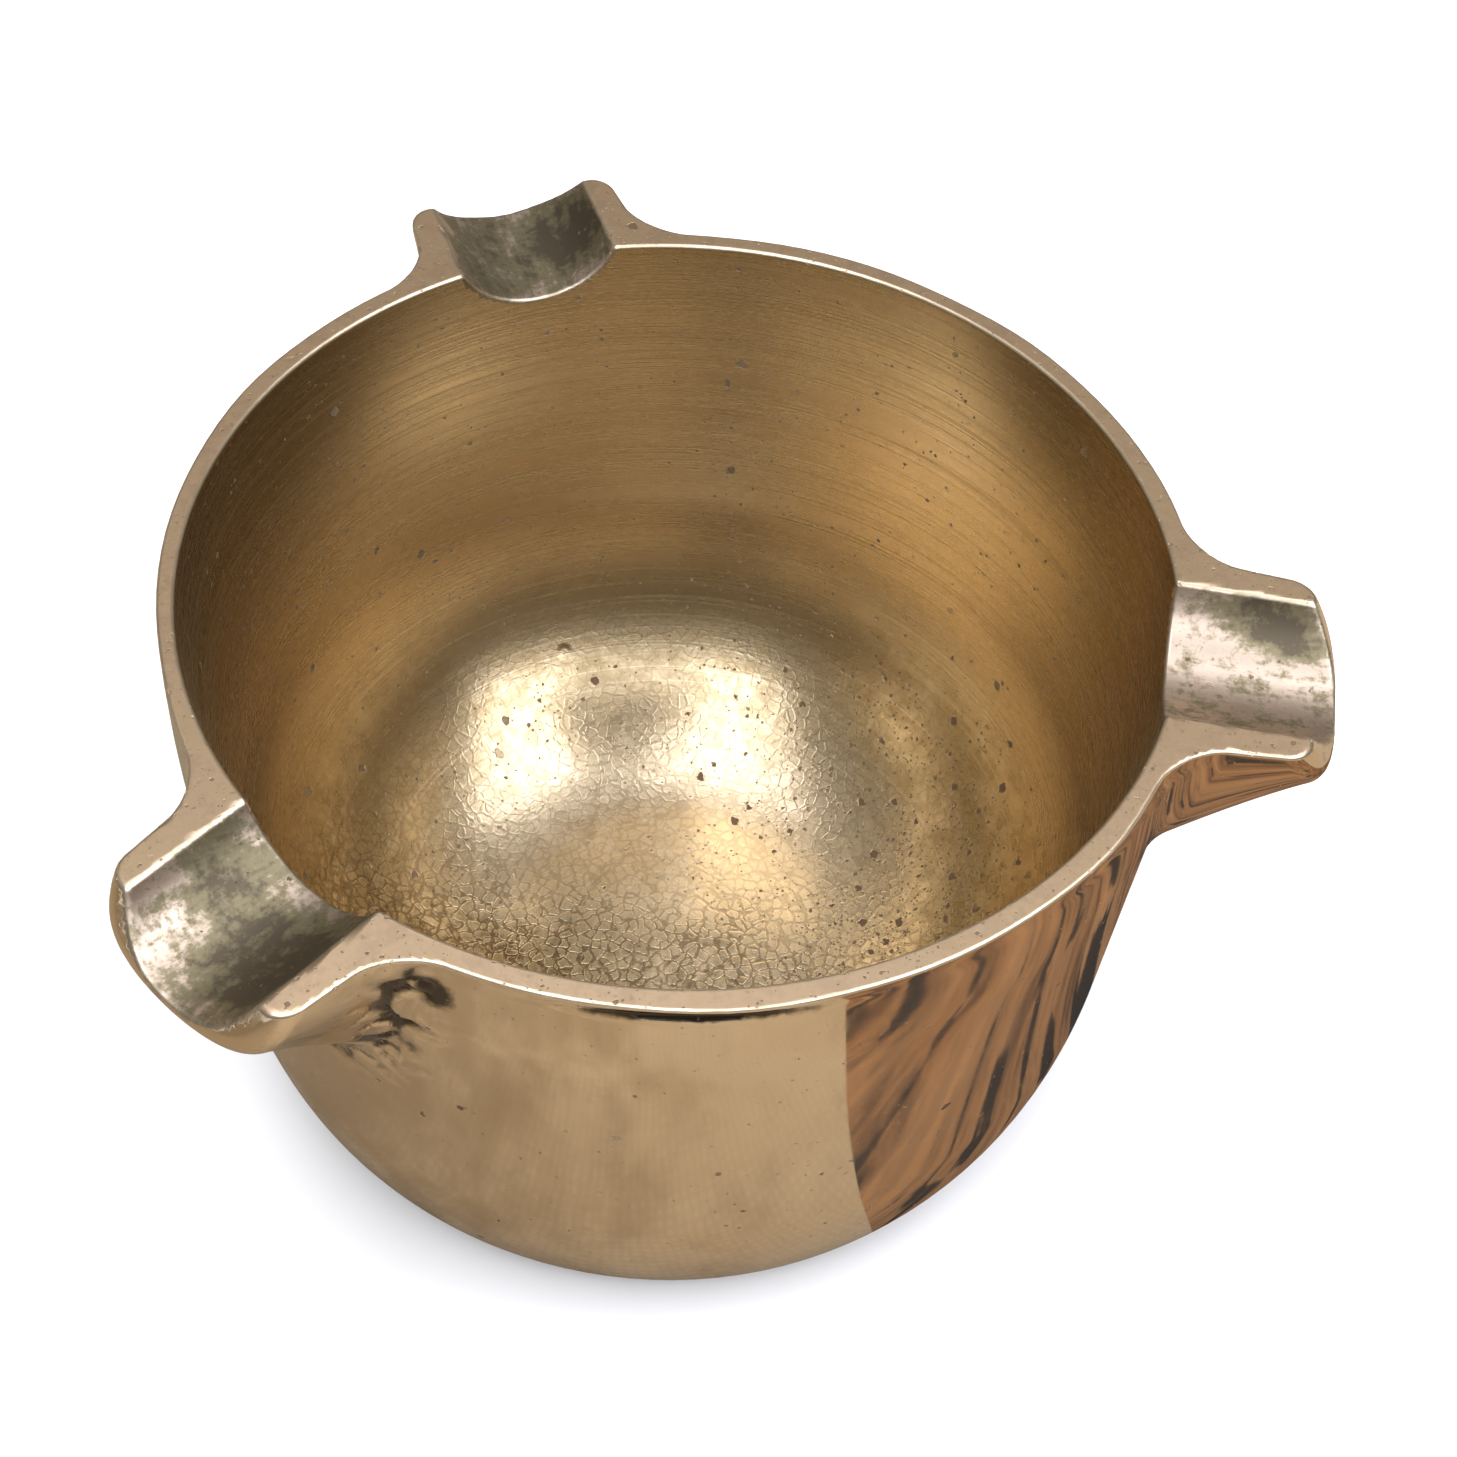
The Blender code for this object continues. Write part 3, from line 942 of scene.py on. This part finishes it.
def make_piece(name, points, normals, masks, faces, seam, materials):
    """One closed piece of the casting. Faces on the seam are flat, and the rest take the true normals."""
    used, flat = np.unique(np.concatenate([np.array(face) for face in faces]), return_inverse=True)
    starts = np.cumsum([0] + [len(face) for face in faces])
    local = [flat[a:b].tolist() for a, b in zip(starts, starts[1:])]
    mesh = bpy.data.meshes.new(name)
    mesh.from_pydata((points[used] * MM).tolist(), [], local)
    mesh.update()
    for key, values in masks.items():
        layer = mesh.attributes.new(key, "FLOAT", "POINT")
        layer.data.foreach_set("value", values[used].astype(np.float32))
    for material in materials:
        mesh.materials.append(material)
    inside = masks["inside"][used]
    loop_normals = []
    for polygon, inner, corners in zip(mesh.polygons, seam, local):
        polygon.use_smooth = not inner
        if not inner and inside[corners].mean() > 0.5:
            polygon.material_index = 1
        flat_normal = tuple(polygon.normal)
        for corner in corners:
            loop_normals.append(flat_normal if inner else tuple(normals[used[corner]]))
    mesh.normals_split_custom_set(loop_normals)
    piece = bpy.data.objects.new(name, mesh)
    bpy.context.collection.objects.link(piece)
    return piece


def build_casting():
    """The bowl and its rests, each in place of its CAD node."""
    points, normals, pieces = build_surface()
    masks = finish_masks(points, normals)
    materials = [brass("polished_brass", False), brass("turned_brass", True)]
    for node, (faces, seam) in pieces.items():
        name = "casting_" + node
        piece = make_piece(name, points, normals, masks, faces, seam, materials)
        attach(piece, "root")
        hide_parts(node)


# --------------------
# Stage, light and camera
# --------------------

def plane(name, size, centre, material):
    """A flat square or rectangle that lies level, with its sides in metres."""
    mesh = bpy.data.meshes.new(name)
    half_x, half_y = size[0] / 2, size[1] / 2
    corners = [(-half_x, -half_y, 0), (half_x, -half_y, 0), (half_x, half_y, 0), (-half_x, half_y, 0)]
    mesh.from_pydata(corners, [], [(0, 1, 2, 3)])
    mesh.materials.append(material)
    made = bpy.data.objects.new(name, mesh)
    made.location = centre
    bpy.context.collection.objects.link(made)
    return made


def floor_material():
    """Plain white paper."""
    n = Nodes("floor_paper")
    point = n.add("ShaderNodeTexCoord", {}).outputs["Object"]
    tone = n.noise(point, 6.0, detail=2.0)
    n.put(n.shader.inputs["Base Color"], n.mix(tone, (0.93, 0.93, 0.93), (0.95, 0.95, 0.95)))
    n.shader.inputs["Roughness"].default_value = 0.9
    return n.material


def build_cards():
    """Two cards just above the floor that only reflections see: cloth, and a wooden board over part of it."""
    cloth = plane("card_cloth", (2 * CLOTH_REACH, 2 * CLOTH_REACH), (0, 0, -0.0001), cloth_material())
    wood = plane("card_wood", ((WOOD_FRONT + WOOD_BACK) * MM, WOOD_WIDTH * MM), (0, 0, 0), wood_material())
    # The board's left side lies along the edge, and the grain crosses it at an angle of its own.
    edge = math.radians(WOOD_EDGE_AZIMUTH)
    out = Vector((-math.sin(edge), math.cos(edge), 0))
    forward = Vector((math.cos(edge), math.sin(edge), 0))
    start = Vector((WOOD_EDGE[0], WOOD_EDGE[1], 0))
    middle = start + forward * (WOOD_FRONT - WOOD_BACK) / 2 + out * WOOD_WIDTH / 2
    wood.data.transform(Matrix.Rotation(edge, 4, "Z"))
    wood.data.transform(Matrix.Translation(middle * MM))
    wood.data.transform(Matrix.Rotation(-math.radians(WOOD_GRAIN_AZIMUTH), 4, "Z"))
    wood.rotation_euler.z = math.radians(WOOD_GRAIN_AZIMUTH)
    for card in (cloth, wood):
        reflection_only(card)


def fill_light():
    """A broad soft light overhead for the floor and the cards. Its shape doesn't show in the metal."""
    light = bpy.data.lights.new("light_fill", "AREA")
    light.shape = "SQUARE"
    light.size = FILL_SIZE
    light.energy = FILL_POWER
    made = bpy.data.objects.new("light_fill", light)
    made.location = (0, 0, FILL_HEIGHT)
    made.visible_glossy = False
    bpy.context.collection.objects.link(made)


def direction(azimuth, elevation):
    """Unit vector towards a place above the table. Azimuth 0 is behind the bowl and 90 is to its right."""
    a, e = math.radians(azimuth), math.radians(elevation)
    return Vector((math.sin(a) * math.cos(e), math.cos(a) * math.cos(e), math.sin(e)))


def long_light(name, start, end, power):
    """A long soft panel that faces the bowl and runs between two directions, each (azimuth, elevation)."""
    first, last = direction(*start) * PANEL_DISTANCE, direction(*end) * PANEL_DISTANCE
    centre = (first + last) / 2
    out = centre.normalized()
    along = (last - first).normalized()
    light = bpy.data.lights.new(name, "AREA")
    light.shape = "RECTANGLE"
    light.size = PANEL_WIDTH
    light.size_y = (last - first).length
    light.energy = power
    light.color = PANEL_COLOUR
    made = bpy.data.objects.new(name, light)
    made.matrix_world = Matrix((along.cross(out), along, out)).transposed().to_4x4()
    made.location = centre
    bpy.context.collection.objects.link(made)


def reflection_only(made):
    """Keeps a card out of sight: it shows in polished metal and nowhere else."""
    made.visible_camera = False
    made.visible_diffuse = False
    made.visible_shadow = False
    made.visible_transmission = False


def cloth_material():
    """Tan woven cloth, painted paler towards the right as painted light."""
    n = Nodes("card_cloth")
    point = n.add("ShaderNodeTexCoord", {}).outputs["Object"]
    wave = {"Vector": point, "Scale": 240.0, "Distortion": 4.0}
    weave = n.add("ShaderNodeTexWave", wave, bands_direction="X")
    cross = n.add("ShaderNodeTexWave", wave, bands_direction="Y")
    threads = n.times(weave.outputs["Fac"], cross.outputs["Fac"])
    sideways = n.add("ShaderNodeSeparateXYZ", {0: point}).outputs[0]
    # Painted light: the cloth's colour is made paler towards the right.
    tone = n.calc("ADD", n.noise(point, 90.0, detail=6.0, roughness=0.65),
                  n.ease(sideways, -0.06, 0.05, -0.15, 0.25))
    colour = n.mix(n.ease(tone, 0.3, 0.75), CLOTH_DARK, CLOTH_PALE)
    colour = n.mix(n.ease(threads, 0.0, 0.6, 0.16, 0.0), colour, CLOTH_SHADE)
    n.put(n.shader.inputs["Base Color"], colour)
    n.shader.inputs["Roughness"].default_value = 0.9
    return n.material


def wood_material():
    """Warm brown wood with long black cracks along its grain, which runs along X."""
    n = Nodes("card_wood")
    point = n.add("ShaderNodeTexCoord", {}).outputs["Object"]
    drawn = n.add("ShaderNodeMapping", {"Vector": point, "Scale": (0.11, 1.0, 1.0)}).outputs[0]
    grain = n.noise(drawn, 420.0, detail=6.0, roughness=0.7, distortion=1.0)
    broad = n.noise(drawn, 70.0, detail=3.0, distortion=1.0)
    wander = n.noise(drawn, 85.0, detail=3.0, roughness=0.5)
    from_crack = n.calc("ABSOLUTE", n.calc("SUBTRACT", wander, 0.5))
    opening = n.ease(n.noise(point, 55.0, detail=4.0), 0.38, 0.62, -0.006, 0.038)
    cracks = n.ease(n.calc("SUBTRACT", from_crack, opening), 0.008, -0.008)
    colour = n.mix(n.ease(grain, 0.40, 0.58), WOOD_DARK, WOOD_WARM)
    colour = n.mix(n.ease(broad, 0.4, 0.65, 0.0, 0.5), colour, WOOD_PALE)
    colour = n.mix(cracks, colour, WOOD_CRACK)
    n.put(n.shader.inputs["Base Color"], colour)
    n.shader.inputs["Roughness"].default_value = 0.6
    return n.material


def make_world():
    """A soft room: bright overhead and dimmer towards the horizon."""
    world = bpy.data.worlds.new("room")
    bpy.context.scene.world = world
    world.use_nodes = True
    tree = world.node_tree
    background = tree.nodes["Background"]
    direction = tree.nodes.new("ShaderNodeTexCoord")
    split = tree.nodes.new("ShaderNodeSeparateXYZ")
    ramp = tree.nodes.new("ShaderNodeMapRange")
    ramp.interpolation_type = "SMOOTHSTEP"
    ramp.inputs["From Min"].default_value = 0.3
    ramp.inputs["From Max"].default_value = 1.0
    ramp.inputs["To Min"].default_value = ROOM_SIDES
    ramp.inputs["To Max"].default_value = ROOM_OVERHEAD
    tree.links.new(direction.outputs["Generated"], split.inputs[0])
    tree.links.new(split.outputs[2], ramp.inputs["Value"])
    tree.links.new(ramp.outputs[0], background.inputs["Strength"])
    background.inputs["Color"].default_value = (1.0, 0.97, 0.92, 1.0)


def make_camera():
    """The camera, seen from the bowl at an azimuth (0 in front and 90 to the right) and an elevation."""
    data = bpy.data.cameras.new("camera")
    data.sensor_width = 36.0
    data.lens = CAMERA_LENS
    data.clip_start = 0.01
    camera = bpy.data.objects.new("camera", data)
    a, e = math.radians(CAMERA_AZIMUTH), math.radians(CAMERA_ELEVATION)
    back = Vector((math.sin(a) * math.cos(e), -math.cos(a) * math.cos(e), math.sin(e)))
    camera.location = (Vector(CAMERA_AIM) + back * CAMERA_DISTANCE) * MM
    camera.rotation_mode = "QUATERNION"
    roll = Quaternion((0, 0, 1), math.radians(CAMERA_ROLL))
    camera.rotation_quaternion = (-back).to_track_quat("-Z", "Y") @ roll
    bpy.context.collection.objects.link(camera)
    bpy.context.scene.camera = camera


def plain_colours():
    """Shows colours as they are, so that white paper stays white and brass keeps its colour."""
    bpy.context.scene.view_settings.view_transform = "Standard"


build_casting()
plane("floor", (3.0, 3.0), (0.0, 0.0, -0.0002), floor_material())
build_cards()
make_world()
for panel, (start, end, power) in PANELS.items():
    long_light(panel, start, end, power)
fill_light()
make_camera()
plain_colours()
